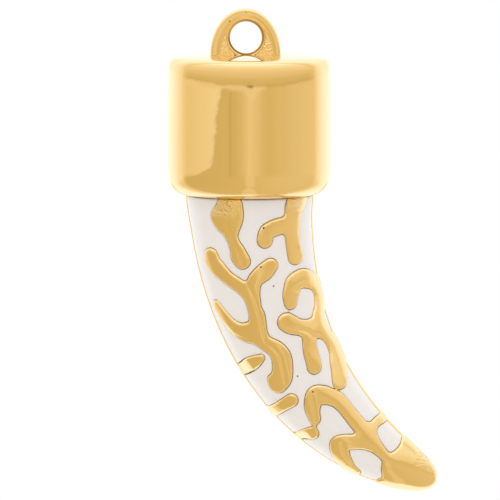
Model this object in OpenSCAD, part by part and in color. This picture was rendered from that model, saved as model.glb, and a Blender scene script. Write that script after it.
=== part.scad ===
// Shark tooth pendant: a gold cap with a hanging eye, a gold tooth with a raised
// coral-branch pattern, and white enamel that fills the ground between the branches.
// Millimetres. The origin is the centre of the eye's hole. +Z is up, -Y is the front,
// and the tooth's tip curves towards +X.

/* [View] */

/* [Cap] */
// Radius of the cap at its top and at its widest
cap_top_radius = 6.45;
cap_radius = 6.55;
cap_height = 10.8;
// Where the cap's axis stands, to the right of the hole
cap_offset = 0.25;
// Height of the hole's centre above the rim of the cap's top
hole_height = 1.75;
// How far the top swells in the middle
top_rise = 0.22;
top_rounding = 0.65;
bottom_rounding = 1.35;

/* [Eye] */
eye_thickness = 2.1;
eye_outer_radius = 2.4;
// The eye's arch is centred a little left of the hole and below it
arch_shift = 0.06;
arch_drop = 0.18;
// How far the eye's legs lean out, in degrees
leg_slant = 16;
// Width of the round band that frames the eye
band_width = 0.68;
web_thickness = 1.7;
hole_radius = 1.27;
hole_rim_radius = 1.48;
// Straight length of the hole between its two bevels
hole_length = 0.9;

/* [Tooth] */
// The tooth's own heights, below, start this far above the hole's centre
tooth_lift = 0.1;
root_radius = 4.95;
// How the tooth narrows: radius = root * (1 - t^fullness)^roundness
fullness = 1.3;
roundness = 0.43;
// Depth of the ground that the enamel fills
recess = 0.35;
// How far the side ridges stand out, and how wide they are
ridge_rise = 0.12;
ridge_width = 1.1;

/* [Fit] */
// Gap between the cap and the other pieces
fit_gap = 0.05;
// Gap between the enamel and the metal round it
enamel_gap = 0.05;
// How far the enamel lies below the gold
enamel_drop = 0.03;
tenon_radius = 4.4;
tenon_length = 2.6;

/* [Hidden] */
gold = [0.86, 0.66, 0.30];
white = [0.93, 0.91, 0.88];
sides = 24;
rings = 26;
round_segments = 48;
end_steps = 3;
arc_steps = 6;
eps = 0.01;

rim_z = -hole_height;
cap_bottom_z = rim_z - cap_height;
root_z = cap_bottom_z - fit_gap - tooth_lift;
band_centre_radius = eye_outer_radius - band_width / 2;

// Centre line of the tooth, a curve with four control points: x, z
spine = [[0.3, root_z], [0.6, -20.8], [3.4, -31.0], [15.1, -35.7]];

// The branches, seen from the front. Each stroke is a row of points: x, z, half width.
branch_a = [
    [[-1.35, -11.95, 0.92], [-1.35, -12.7, 0.9], [-1.3, -13.2, 1.02], [-1.25, -13.7, 1.04],
     [-1.2, -14.15, 0.98], [-1.25, -14.65, 0.86], [-1.15, -15.15, 0.58], [-1.15, -15.6, 0.48],
     [-1.0, -16.0, 0.46], [-0.85, -16.4, 0.5], [-0.65, -16.8, 0.58], [-0.55, -17.2, 0.68],
     [-0.3, -17.6, 0.66]],
    [[-1.85, -14.1, 0.96], [-1.8, -14.25, 0.88]],
    [[-1.65, -14.75, 0.64], [-1.3, -15.3, 0.42]]
];
branch_b = [
    [[4.2, -12.05, 0.8], [4.05, -12.75, 0.78], [3.9, -13.25, 0.76], [3.8, -13.6, 0.71],
     [3.7, -14.1, 0.62], [3.6, -14.9, 0.58], [3.65, -15.5, 0.54], [3.7, -16.0, 0.54],
     [3.8, -16.65, 0.56], [3.95, -17.4, 0.58]],
    [[3.55, -14.8, 0.62], [2.95, -14.8, 0.65], [2.45, -14.9, 0.68], [2.05, -15.05, 0.66],
     [1.7, -15.25, 0.64], [1.55, -15.6, 0.62], [1.5, -15.95, 0.62]]
];
branch_c = [
    [[-2.8, -17.15, 0.5], [-2.6, -17.8, 0.6], [-2.15, -18.35, 0.62], [-1.5, -18.95, 0.54],
     [-0.75, -19.45, 0.54], [-0.2, -19.85, 0.55], [0.25, -20.35, 0.5], [0.5, -20.75, 0.48]],
    [[1.95, -17.95, 0.6], [1.45, -18.45, 0.7], [0.85, -18.95, 0.62], [0.6, -19.45, 0.58],
     [0.55, -19.9, 0.56], [0.55, -20.45, 0.54], [0.6, -20.95, 0.54], [0.7, -21.45, 0.56],
     [0.85, -21.95, 0.64], [0.95, -22.7, 0.66], [1.0, -23.45, 0.66], [1.4, -24.05, 0.62],
     [1.85, -24.35, 0.64], [2.4, -24.7, 0.72], [2.8, -25.3, 0.8], [2.9, -26.05, 0.82],
     [2.85, -26.95, 0.82], [2.55, -27.55, 0.74]],
    [[-2.4, -21.1, 0.2], [-2.1, -21.65, 0.32], [-1.7, -22.2, 0.38], [-1.3, -22.7, 0.46],
     [-0.85, -23.1, 0.58], [-0.35, -23.3, 0.68], [0.25, -23.4, 0.84], [0.95, -23.55, 0.68]],
    [[2.4, -27.25, 0.56], [2.05, -27.15, 0.36]]
];
branch_d = [
    [[3.55, -21.0, 0.5], [3.55, -20.4, 0.62], [3.7, -19.8, 0.68], [3.9, -19.35, 0.72],
     [4.5, -19.1, 0.77], [5.0, -19.3, 0.64], [5.55, -19.7, 0.5], [5.85, -20.25, 0.46],
     [6.0, -20.9, 0.5], [5.95, -21.5, 0.46], [5.8, -21.85, 0.43], [5.7, -22.25, 0.42],
     [5.65, -22.9, 0.52]],
    [[3.25, -22.5, 0.76], [3.6, -22.7, 0.76], [4.1, -22.9, 0.66], [4.5, -22.95, 0.64],
     [5.0, -23.0, 0.64], [5.6, -23.05, 0.64]],
    [[5.05, -23.35, 0.58], [5.05, -24.1, 0.54], [5.15, -24.9, 0.58], [5.35, -25.65, 0.58],
     [5.45, -26.15, 0.58]],
    [[5.6, -23.05, 0.64], [6.2, -23.6, 0.42], [6.65, -24.0, 0.44], [7.0, -24.45, 0.54],
     [7.25, -25.1, 0.58], [7.35, -25.8, 0.62], [7.45, -26.55, 0.62], [7.5, -27.45, 0.58]]
];
bars = [
    [[1.2, -25.4, 0.3], [0.65, -25.8, 0.54], [0.1, -26.2, 0.62], [-0.6, -26.9, 0.5]],
    [[3.6, -28.85, 0.56], [2.85, -29.4, 0.5], [2.0, -30.1, 0.52]],
    [[5.25, -31.6, 0.56], [4.65, -31.8, 0.5], [4.0, -32.15, 0.4]]
];
branch_f = [
    [[5.45, -30.3, 0.5], [5.3, -29.7, 0.6], [5.3, -29.1, 0.68], [5.55, -28.4, 0.76],
     [6.1, -28.4, 0.78], [6.6, -28.5, 0.7], [7.25, -28.8, 0.64], [7.8, -29.35, 0.58],
     [8.35, -30.05, 0.58], [8.9, -30.75, 0.6], [9.45, -31.4, 0.6], [9.9, -32.15, 0.72],
     [10.55, -32.85, 0.52], [11.4, -33.75, 0.5], [12.35, -34.6, 1.38]],
    [[9.75, -31.45, 0.6], [10.2, -31.0, 0.4], [10.55, -30.7, 0.38], [11.1, -30.45, 0.4]],
    [[9.6, -32.2, 0.66], [8.6, -32.25, 0.64], [7.9, -32.3, 0.68], [7.4, -32.45, 0.7],
     [7.5, -32.95, 0.74], [7.75, -33.5, 0.68], [8.15, -34.05, 0.54], [8.6, -34.35, 0.42],
     [9.05, -34.55, 0.42]],
    [[12.35, -34.6, 1.38], [13.3, -33.2, 1.14], [13.55, -32.15, 1.0]],
    [[12.0, -35.5, 0.8], [11.2, -35.75, 0.5], [10.35, -36.0, 0.34]],
    [[12.35, -34.6, 1.38], [13.95, -34.85, 1.9]]
];
// Where two branches touch: x, z, radius
touches = [[4.25, -18.15, 0.3], [7.5, -28.1, 0.4], [5.55, -30.95, 0.35],
           [7.65, -34.4, 0.2]];
// Concave corners of a branch are rounded by this much
corner_rounding = 0.15;

function bend(t) =
    pow(1 - t, 3) * spine[0] + 3 * pow(1 - t, 2) * t * spine[1]
    + 3 * (1 - t) * t * t * spine[2] + pow(t, 3) * spine[3];
function bend_way(t) =
    pow(1 - t, 2) * (spine[1] - spine[0]) + 2 * (1 - t) * t * (spine[2] - spine[1])
    + t * t * (spine[3] - spine[2]);
function unit(v) = v / norm(v);
function tooth_radius(t) = root_radius * pow(1 - pow(t, fullness), roundness);

// Rings crowd together towards the tip, so that it stays round
function station(i) = 1 - pow(1 - i / rings, 1.35);

// The first ring is level, so that it meets the cap all round
function ring_way(t) = t == 0 ? [0, -1] : unit(bend_way(t));
function ring(t, extra) =
    let (centre = bend(t), way = ring_way(t), r = max(tooth_radius(t) + extra, 0.05))
    [for (k = [0:sides - 1])
        let (a = 360 * k / sides, across = r * cos(a))
        [centre[0] - way[1] * across, r * sin(a), centre[1] + way[0] * across]];

// The tooth's form, grown or shrunk by extra
module horn(extra) {
    tip = bend(1) + unit(bend_way(1)) * extra;
    points = concat(
        [for (i = [0:rings - 1], p = ring(station(i), extra)) p],
        [[bend(0)[0], 0, root_z], [tip[0], 0, tip[1]]]
    );
    root_centre = rings * sides;
    last = (rings - 1) * sides;
    polyhedron(
        points = points,
        faces = concat(
            [for (i = [0:rings - 2], k = [0:sides - 1])
                let (a = i * sides + k, b = i * sides + (k + 1) % sides)
                [a, b, b + sides]],
            [for (i = [0:rings - 2], k = [0:sides - 1])
                let (a = i * sides + k, b = i * sides + (k + 1) % sides)
                [a, b + sides, a + sides]],
            [for (k = [0:sides - 1]) [root_centre, (k + 1) % sides, k]],
            [for (k = [0:sides - 1]) [last + k, last + (k + 1) % sides, root_centre + 1]]
        ),
        convexity = 6
    );
}

// Outline of a stroke: down its left side, round its end, back up its right side and
// round its start
function flat(p) = [p[0], p[1]];
function turned(v) = [-v[1], v[0]];
function stroke_way(s, i) = unit(flat(s[min(i + 1, len(s) - 1)]) - flat(s[max(i - 1, 0)]));
function stroke_side(s, i, side) = flat(s[i]) + side * s[i][2] * turned(stroke_way(s, i));
function round_end(s, i, side) =
    let (along = stroke_way(s, i) * s[i][2], across = turned(along))
    [for (a = [90 - 180 / end_steps : -180 / end_steps : -89])
        flat(s[i]) + side * (across * sin(a) + along * cos(a))];

module stroke(s) {
    last = len(s) - 1;
    polygon(concat(
        [for (i = [0:last]) stroke_side(s, i, 1)],
        round_end(s, last, 1),
        [for (i = [last:-1:0]) stroke_side(s, i, -1)],
        round_end(s, 0, -1)
    ));
}

module branch(strokes) {
    offset(r = -corner_rounding, $fn = 8)
        offset(delta = corner_rounding)
            for (s = strokes)
                stroke(s);
}

module branches() {
    for (b = [branch_a, branch_b, branch_c, branch_d, bars, branch_f])
        branch(b);
}

// The branches as a block that runs through the tooth, front to back, grown by extra
module branch_block(extra) {
    rotate([90, 0, 0])
        linear_extrude(height = 14, center = true)
            offset(delta = extra)
                branches();
}

// No enamel lies where two branches touch
module touch_block() {
    rotate([90, 0, 0])
        linear_extrude(height = 14, center = true)
            for (p = touches)
                translate([p[0], p[1]])
                    circle(r = p[2], $fn = 8);
}

module ridge_block(extra) {
    width = ridge_width + 2 * extra;
    translate([-20, -width / 2, -60])
        cube([60, width, 60]);
}

function arc(centre, r, from, to) =
    [for (i = [0:arc_steps])
        let (a = from + (to - from) * i / arc_steps)
        [centre[0] + r * cos(a), centre[1] + r * sin(a)]];

// Half outline of the cap: r, z
cap_outline = concat(
    [[0, cap_bottom_z]],
    arc([cap_radius - bottom_rounding, cap_bottom_z + bottom_rounding],
        bottom_rounding, -90, 0),
    arc([cap_top_radius - top_rounding, rim_z - top_rounding], top_rounding, 0, 84),
    [[4.4, rim_z + top_rise * 0.5], [2.4, rim_z + top_rise * 0.88], [0, rim_z + top_rise]]
);

module cap_body() {
    translate([cap_offset, 0, 0])
        difference() {
            rotate_extrude($fn = round_segments)
                polygon(cap_outline);
            translate([0, 0, cap_bottom_z - 1])
                cylinder(r = tenon_radius + 0.1, h = tenon_length + 1.1, $fn = round_segments);
        }
}

// Section of the eye's band: a flat band with rounded edges, centred on the origin
module band_section() {
    w = band_width / 2;
    t = eye_thickness / 2;
    polygon([[-w, -t + 0.25], [-w + 0.25, -t], [w - 0.35, -t], [w - 0.1, -t + 0.2],
             [w, -t + 0.55], [w, t - 0.55], [w - 0.1, t - 0.2], [w - 0.35, t],
             [-w + 0.25, t], [-w, t - 0.25]]);
}

// The eye stands on the cap's top, which is leg below the arch's centre
leg = hole_height - arch_drop;
// The straight legs start where the arch already leans as they do, and reach into the cap
leg_length = (band_centre_radius * sin(leg_slant) + leg + 0.1) / cos(leg_slant);

module eye_band() {
    rotate([90, 0, 0])
        rotate([0, 0, leg_slant])
            rotate_extrude(angle = 180 - 2 * leg_slant, $fn = round_segments)
                translate([band_centre_radius, 0])
                    band_section();
    for (side = [0, 1])
        mirror([side, 0, 0])
            rotate([0, -leg_slant, 0])
                translate([band_centre_radius, 0, -leg_length])
                    linear_extrude(height = leg_length)
                        band_section();
}

// The web fills the eye between the arch and its legs, and ends inside the band
module eye_web() {
    web = band_centre_radius - 0.12;
    top = [web * cos(leg_slant), web * sin(leg_slant)];
    foot = web / cos(leg_slant) + leg * tan(leg_slant);
    rotate([90, 0, 0])
        linear_extrude(height = web_thickness, center = true) {
            circle(r = band_centre_radius, $fn = round_segments);
            polygon([[-top[0], top[1]], [-foot, -leg], [foot, -leg], top]);
        }
}

module eye_hole() {
    bevel = (web_thickness - hole_length) / 2;
    rotate([90, 0, 0]) {
        cylinder(r = hole_radius, h = 4, center = true, $fn = round_segments);
        for (side = [0, 1])
            mirror([0, 0, side])
                translate([0, 0, hole_length / 2])
                    cylinder(r1 = hole_radius, r2 = hole_rim_radius, h = bevel + eps,
                             $fn = round_segments);
        for (side = [0, 1])
            mirror([0, 0, side])
                translate([0, 0, web_thickness / 2])
                    cylinder(r = hole_rim_radius, h = 1, $fn = round_segments);
    }
}

// Cap and eye are one casting
module cap() {
    color(gold)
        difference() {
            union() {
                cap_body();
                translate([-arch_shift, 0, -arch_drop]) {
                    eye_band();
                    eye_web();
                }
            }
            eye_hole();
        }
}

// A free form with thousands of small faces is kept as one mesh, at its own size
module one_mesh() {
    translate([0, 0, tooth_lift])
        resize([0, 0, 0])
            union()
                children();
}

// Gold casting: the core, the raised branches, the side ridges and the tenon
module tooth() {
    color(gold) one_mesh() {
        horn(-recess);
        intersection() {
            horn(0);
            branch_block(0);
        }
        intersection() {
            horn(ridge_rise);
            ridge_block(0);
        }
        translate([cap_offset, 0, root_z - 0.2])
            cylinder(r = tenon_radius, h = tenon_length + 0.2, $fn = sides);
    }
}

// Enamel: fills the ground between the branches, just below the gold
module enamel() {
    color(white) one_mesh()
        difference() {
            horn(-enamel_drop);
            horn(enamel_gap - recess);
            branch_block(enamel_gap);
            touch_block();
            ridge_block(enamel_gap);
        }
}

cap();
tooth();
enamel();
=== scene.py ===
# %% [markdown]
# # Shark tooth pendant
# The real object is a small jewel: a curved tooth with gold coral branches and white enamel
# between them, in a polished gold cap that hangs from a pierced eye.
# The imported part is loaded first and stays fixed. Its box is kept before anything is made,
# so that the finished look can be compared with the real sizes at the end.

import math

import bmesh
import bpy
import numpy as np
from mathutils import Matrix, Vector, kdtree


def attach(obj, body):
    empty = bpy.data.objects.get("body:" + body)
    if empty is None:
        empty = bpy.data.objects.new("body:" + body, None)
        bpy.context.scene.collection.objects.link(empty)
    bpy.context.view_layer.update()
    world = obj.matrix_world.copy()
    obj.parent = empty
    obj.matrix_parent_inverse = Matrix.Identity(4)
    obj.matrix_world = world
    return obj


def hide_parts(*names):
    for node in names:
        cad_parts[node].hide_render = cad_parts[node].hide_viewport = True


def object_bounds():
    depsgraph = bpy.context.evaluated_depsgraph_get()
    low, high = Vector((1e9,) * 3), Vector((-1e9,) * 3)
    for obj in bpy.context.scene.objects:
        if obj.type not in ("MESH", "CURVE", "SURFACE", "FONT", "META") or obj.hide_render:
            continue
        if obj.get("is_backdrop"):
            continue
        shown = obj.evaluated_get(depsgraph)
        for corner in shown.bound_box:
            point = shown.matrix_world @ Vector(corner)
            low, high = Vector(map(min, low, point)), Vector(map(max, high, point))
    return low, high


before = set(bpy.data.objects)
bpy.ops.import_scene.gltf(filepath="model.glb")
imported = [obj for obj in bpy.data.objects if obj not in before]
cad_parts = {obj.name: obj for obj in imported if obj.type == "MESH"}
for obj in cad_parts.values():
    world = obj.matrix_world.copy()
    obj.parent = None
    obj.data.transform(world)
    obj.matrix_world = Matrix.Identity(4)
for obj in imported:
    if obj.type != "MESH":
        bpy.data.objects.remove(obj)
cad_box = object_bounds()
MM = 0.001
print("nodes:", sorted(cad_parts))

# %% [markdown]
# ## Camera
# The photo was taken with a long lens from a little above: the cap's round top shows as a very
# thin ellipse. A lens of 315 mm at 350 mm from the pendant gives the same view. The camera is
# placed from the point that it looks at, so that the two can't drift apart.

# %% Camera
CAMERA_DISTANCE = 350 * MM
CAMERA_ELEVATION = math.radians(5.5)
LENS_LENGTH = 315
SENSOR_WIDTH = 36
AIM = Vector((0.32, 0, -17.04)) * MM


def make_camera():
    lens = bpy.data.cameras.new("camera")
    lens.sensor_width = SENSOR_WIDTH
    lens.lens = LENS_LENGTH
    lens.clip_start = 0.01
    lens.clip_end = 20
    camera = bpy.data.objects.new("camera", lens)
    bpy.context.scene.collection.objects.link(camera)
    back = Vector((0, -math.cos(CAMERA_ELEVATION), math.sin(CAMERA_ELEVATION)))
    camera.location = AIM + back * CAMERA_DISTANCE
    camera.rotation_euler = (-back).to_track_quat("-Z", "Y").to_euler()
    bpy.context.scene.camera = camera
    return camera


camera = make_camera()
print("camera at", [round(x, 4) for x in camera.location])

# %% [markdown]
# ## Arithmetic with wires
# Geometry Nodes and shaders both work on wires between nodes. Wiring every sum by hand is long,
# so a small class lets a wire be added and multiplied like a number. Each operation still makes
# one ordinary Math node in the tree.

# %% A wire that carries a number


class Wire:
    kind = "ShaderNodeMath"

    def __init__(self, tree, socket):
        self.tree = tree
        self.socket = socket

    def node(self, operation, *values, output=0):
        made = self.tree.nodes.new(self.kind)
        made.operation = operation
        for place, value in zip(made.inputs, values):
            connect(self.tree, value, place)
        return made.outputs[output]


class Number(Wire):
    def do(self, operation, *others):
        return Number(self.tree, self.node(operation, self, *others))

    def __add__(self, other):
        return self.do("ADD", other)

    def __sub__(self, other):
        return self.do("SUBTRACT", other)

    def __rsub__(self, other):
        return Number(self.tree, self.node("SUBTRACT", other, self))

    def __mul__(self, other):
        return self.do("MULTIPLY", other)

    def __truediv__(self, other):
        return self.do("DIVIDE", other)

    def __pow__(self, other):
        return self.do("POWER", other)

    def length_with(self, other):
        return (self * self + other * other).do("SQRT")

    def smooth(self, low, high):
        """0 at low and 1 at high, eased at both ends."""
        made = self.tree.nodes.new("ShaderNodeMapRange")
        made.interpolation_type = "SMOOTHSTEP"
        for place, value in zip(made.inputs, (self, low, high)):
            connect(self.tree, value, place)
        return Number(self.tree, made.outputs[0])


# %% [markdown]
# A second class does the same for an arrow, which is a place or a direction with x, y and z. Its
# operations are Vector Math nodes, and its length and its parts are numbers again.

# %% A wire that carries an arrow


class Arrow(Wire):
    kind = "ShaderNodeVectorMath"

    def do(self, operation, *others):
        return Arrow(self.tree, self.node(operation, self, *others))

    def __add__(self, other):
        return self.do("ADD", other)

    def __sub__(self, other):
        return self.do("SUBTRACT", other)

    def __mul__(self, factor):
        made = self.tree.nodes.new(self.kind)
        made.operation = "SCALE"
        connect(self.tree, self, made.inputs[0])
        connect(self.tree, factor, made.inputs["Scale"])
        return Arrow(self.tree, made.outputs[0])

    def unit(self):
        return self.do("NORMALIZE")

    def cross(self, other):
        return self.do("CROSS_PRODUCT", other)

    def length(self):
        return Number(self.tree, self.node("LENGTH", self, output="Value"))

    def part(self, axis):
        made = self.tree.nodes.new("ShaderNodeSeparateXYZ")
        connect(self.tree, self, made.inputs[0])
        return Number(self.tree, made.outputs[axis])


def connect(tree, value, place):
    if isinstance(value, Wire):
        tree.links.new(value.socket, place)
    else:
        place.default_value = value


def arrow(tree, x=0.0, y=0.0, z=0.0):
    made = tree.nodes.new("ShaderNodeCombineXYZ")
    for place, value in zip(made.inputs, (x, y, z)):
        connect(tree, value, place)
    return Arrow(tree, made.outputs[0])


print("wires carry:", ", ".join(kind.__name__.lower() + "s" for kind in (Number, Arrow)))

# %% [markdown]
# ## Meshes and trees
# A mesh goes in with its own numbers at every point, such as how far along the tooth the point
# lies. The mesh is filled through flat arrays, which is far quicker than a loop over its points.

# %% Build a mesh with numbers at its points


def plain_mesh(name, points, triangles, **numbers):
    mesh = bpy.data.meshes.new(name)
    mesh.vertices.add(len(points))
    mesh.vertices.foreach_set("co", np.asarray(points, np.float32).ravel())
    mesh.loops.add(3 * len(triangles))
    mesh.loops.foreach_set("vertex_index", np.asarray(triangles, np.int32).ravel())
    mesh.polygons.add(len(triangles))
    mesh.polygons.foreach_set("loop_start", np.arange(len(triangles), dtype=np.int32) * 3)
    mesh.update(calc_edges=True)
    for label, values in numbers.items():
        layer = mesh.attributes.new(label, "FLOAT", "POINT")
        layer.data.foreach_set("value", np.asarray(values, np.float32))
    return mesh


def read_points(mesh):
    places = np.zeros(len(mesh.vertices) * 3, np.float32)
    mesh.vertices.foreach_get("co", places)
    return places.reshape(-1, 3).astype(float)


def volume(points, triangles):
    """The space that triangles close in. It is less than 0 where they face inwards."""
    a, b, c = (points[triangles[:, k]] for k in range(3))
    return float(np.einsum("ij,ij->i", a, np.cross(b, c)).sum() / 6)


corners = np.array([(0, 0, 0), (1, 0, 0), (0, 1, 0), (0, 0, 1)])
sides = np.array([(0, 2, 1), (0, 1, 3), (1, 2, 3), (2, 0, 3)])
print(f"a corner cut from a cube holds {volume(corners, sides):.3f} of it")

# %% [markdown]
# A Geometry Nodes tree turns the numbers at the points into places. Its named inputs are the sizes
# of the rule, so the form can be changed without touching the wires. The result is kept as a plain
# mesh and the modifier is removed, because the finished piece has to stand alone.

# %% Build a tree, run it on a mesh and keep the result


def new_tree(name, sizes):
    """A tree with a geometry input, an input for each named size, and its wires."""
    tree = bpy.data.node_groups.new(name, "GeometryNodeTree")
    tree.interface.new_socket("Geometry", in_out="INPUT", socket_type="NodeSocketGeometry")
    for label, value in sizes.items():
        kind = "NodeSocketVector" if isinstance(value, tuple) else "NodeSocketFloat"
        tree.interface.new_socket(label, in_out="INPUT", socket_type=kind)
    tree.interface.new_socket("Geometry", in_out="OUTPUT", socket_type="NodeSocketGeometry")
    entry = tree.nodes.new("NodeGroupInput")
    wires = {}
    for label, value in sizes.items():
        wire = Arrow if isinstance(value, tuple) else Number
        wires[label] = wire(tree, entry.outputs[label])
    return tree, entry.outputs["Geometry"], wires


def point_number(tree, label):
    made = tree.nodes.new("GeometryNodeInputNamedAttribute")
    made.data_type = "FLOAT"
    made.inputs["Name"].default_value = label
    return Number(tree, made.outputs["Attribute"])


def end_tree(tree, geometry, position, material):
    """Moves the points, smooths the shading, makes real geometry and names the material."""
    place = tree.nodes.new("GeometryNodeSetPosition")
    tree.links.new(geometry, place.inputs["Geometry"])
    connect(tree, position, place.inputs["Position"])
    smooth = tree.nodes.new("GeometryNodeSetShadeSmooth")
    tree.links.new(place.outputs[0], smooth.inputs[0])
    realize = tree.nodes.new("GeometryNodeRealizeInstances")
    tree.links.new(smooth.outputs[0], realize.inputs[0])
    finish = tree.nodes.new("GeometryNodeSetMaterial")
    finish.inputs["Material"].default_value = material
    tree.links.new(realize.outputs[0], finish.inputs[0])
    leave = tree.nodes.new("NodeGroupOutput")
    tree.links.new(finish.outputs[0], leave.inputs[0])


def grown(name, mesh, tree, sizes):
    piece = bpy.data.objects.new(name, mesh)
    bpy.context.scene.collection.objects.link(piece)
    modifier = piece.modifiers.new("rule", "NODES")
    modifier.node_group = tree
    for item in tree.interface.items_tree:
        if item.in_out == "INPUT" and item.name in sizes:
            modifier[item.identifier] = sizes[item.name]
    graph = bpy.context.evaluated_depsgraph_get()
    result = bpy.data.meshes.new_from_object(piece.evaluated_get(graph), depsgraph=graph)
    piece.modifiers.remove(modifier)
    piece.data = result
    result.name = name
    return piece


# %% [markdown]
# ## Helpers for the finishes
# Every finish reads a point's place on the object itself, so that a pattern stays where it is when
# the piece moves. Noise and bumps are used more than once, so each has a short function.

# %% Places, noise and bumps


def object_place(tree):
    made = tree.nodes.new("ShaderNodeTexCoord")
    return Arrow(tree, made.outputs["Object"])


def noise(tree, place, scale, detail):
    made = tree.nodes.new("ShaderNodeTexNoise")
    connect(tree, place, made.inputs["Vector"])
    made.inputs["Scale"].default_value = scale
    made.inputs["Detail"].default_value = detail
    return Number(tree, made.outputs["Fac"])


def bump(tree, height, distance, normal=None):
    made = tree.nodes.new("ShaderNodeBump")
    made.inputs["Distance"].default_value = distance
    connect(tree, height, made.inputs["Height"])
    if normal is not None:
        tree.links.new(normal, made.inputs["Normal"])
    return made.outputs["Normal"]


def new_material(name):
    material = bpy.data.materials.new(name)
    material.use_nodes = True
    tree = material.node_tree
    return material, tree, tree.nodes["Principled BSDF"]


def mesh_number(tree, label):
    """A number that the mesh carries at its points."""
    made = tree.nodes.new("ShaderNodeAttribute")
    made.attribute_name = label
    return Number(tree, made.outputs["Fac"])


# %% [markdown]
# Both the gold and the enamel have a few dark pits from casting and firing. A pit is a smooth round
# spot on the front, at a listed place. It is a dent in the bump and also much darker, because light
# that falls into so narrow a hole hardly comes out again.

# %% Pits
PIT_FLOOR = 0.3
FRONT_DEPTH = 0.5
PIT_SHADE = 0.2


def dimples(place, spots):
    """1 in the middle of each small pit on the front, at x, z and with a radius."""
    depth = 0
    for x, z, radius in spots:
        far = (place.part(0) - x * MM).length_with(place.part(2) - z * MM)
        depth = far.smooth(radius * MM, PIT_FLOOR * radius * MM).do("MAXIMUM", depth)
    return depth * (place.part(1) * -1).smooth(0, FRONT_DEPTH * MM)


def darker(tree, shader, colour, amount):
    """The base colour, and only a share of it where the amount is 1."""
    mix = tree.nodes.new("ShaderNodeMix")
    mix.data_type = "RGBA"
    connect(tree, amount, mix.inputs["Factor"])
    mix.inputs[6].default_value = colour
    mix.inputs[7].default_value = (*(PIT_SHADE * part for part in colour[:3]), 1)
    tree.links.new(mix.outputs[2], shader.inputs["Base Color"])


print(f"a pit keeps {PIT_SHADE:.0%} of the colour")

# %% [markdown]
# ## Polished gold
# The metal is plated and polished, so almost all that one sees on it is the studio. The shader is
# a metal with a low roughness. Weak bumps keep it from looking like a perfect mirror: a soft
# unevenness from hand polishing, and a coarse grain where a polishing wheel can't reach. The mesh
# carries two numbers, so each piece says itself where it is rough, "grain", and where its colour
# is painted darker as shade, which is at the edge of the eye's hole.

# %% Gold
GOLD_COLOUR = (0.96, 0.76, 0.42, 1)
# Noises per metre: hand polishing, its finer trace, and the skin of the casting
POLISH_SCALE = 900
TRACE_SCALE = 4500
GRAIN_SCALE = 5000
GRAIN_HEIGHT = 0.17
GOLD_PIT_DEPTH = 0.06
GRAIN_ROUGHNESS = 0.04
PIT_ROUGHNESS = 0.4


def make_gold(name, roughness, unevenness, fine, pits):
    """Polished gold: slow unevenness, cast grain where the mesh asks for it, and a few pits."""
    material, tree, shader = new_material(name)
    place = object_place(tree)
    shader.inputs["Metallic"].default_value = 1
    slow = bump(tree, noise(tree, place, POLISH_SCALE, 1.0), unevenness * MM)
    soft = bump(tree, noise(tree, place, TRACE_SCALE, 1.0), fine * MM, slow)
    grain = mesh_number(tree, "grain")
    cast = bump(tree, noise(tree, place, GRAIN_SCALE, 2.0) * grain, GRAIN_HEIGHT * MM, soft)
    pitted = dimples(place, pits)
    # The base colour is painted darker in the pits and at the hole's edge: painted shade
    darker(tree, shader, GOLD_COLOUR, pitted.do("MAXIMUM", mesh_number(tree, "shade")))
    normal = bump(tree, pitted * -1, GOLD_PIT_DEPTH * MM, cast)
    rough = grain * GRAIN_ROUGHNESS + pitted * PIT_ROUGHNESS + roughness
    connect(tree, rough, shader.inputs["Roughness"])
    tree.links.new(normal, shader.inputs["Normal"])
    return material


# Pits: x, z and radius
GOLD_PITS = [(1.4, -14.84, 0.11), (1.18, -17.95, 0.1), (5.31, -28.01, 0.1)]
CAP_PITS = [(0.0, 2.0, 0.05), (-1.3, 1.3, 0.07), (-0.86, -1.35, 0.07)]
cap_gold = make_gold("cap_gold", 0.06, 0.005, 0.0006, CAP_PITS)
tooth_gold = make_gold("tooth_gold", 0.12, 0.03, 0.0012, GOLD_PITS)
print("gold:", len(CAP_PITS), "pits on the eye and", len(GOLD_PITS), "on the branches")

# %% [markdown]
# ## White enamel
# Enamel is a thin layer of coloured resin or glass, poured into the recesses and polished flush.
# It is white, a little on the warm side, under a clear gloss. A very smooth dielectric with a high
# index of refraction gives that wet look, and a slow bump keeps its reflections from being straight.

# %% Enamel
ENAMEL_COLOUR = (0.79, 0.76, 0.75, 1)
ENAMEL_PITS = [(2.18, -19.49, 0.1), (4.09, -26.74, 0.1)]
ENAMEL_PIT_DEPTH = 0.05
ENAMEL_WAVES = 300
ENAMEL_WAVE_HEIGHT = 0.02


def make_enamel():
    material, tree, shader = new_material("white_enamel")
    shader.inputs["Roughness"].default_value = 0.06
    shader.inputs["IOR"].default_value = 1.65
    place = object_place(tree)
    soft = bump(tree, noise(tree, place, ENAMEL_WAVES, 1.0), ENAMEL_WAVE_HEIGHT * MM)
    pitted = dimples(place, ENAMEL_PITS)
    darker(tree, shader, ENAMEL_COLOUR, pitted)
    pits = bump(tree, pitted * -1, ENAMEL_PIT_DEPTH * MM, soft)
    tree.links.new(pits, shader.inputs["Normal"])
    return material


enamel_white = make_enamel()
print("enamel:", len(ENAMEL_PITS), "pits")

# %% [markdown]
# ## The tooth's form
# The tooth follows a rule: a bent centre line, and a radius that stays full for long and then
# closes round the tip. So one tree makes the form, and both the gold and the enamel go through
# it. A point comes in as four numbers: how far along the tooth it is, how far around, how high
# above the bare surface, and a lift for what goes up into the cap. The root flares a little where
# the tooth meets the cap.

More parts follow.
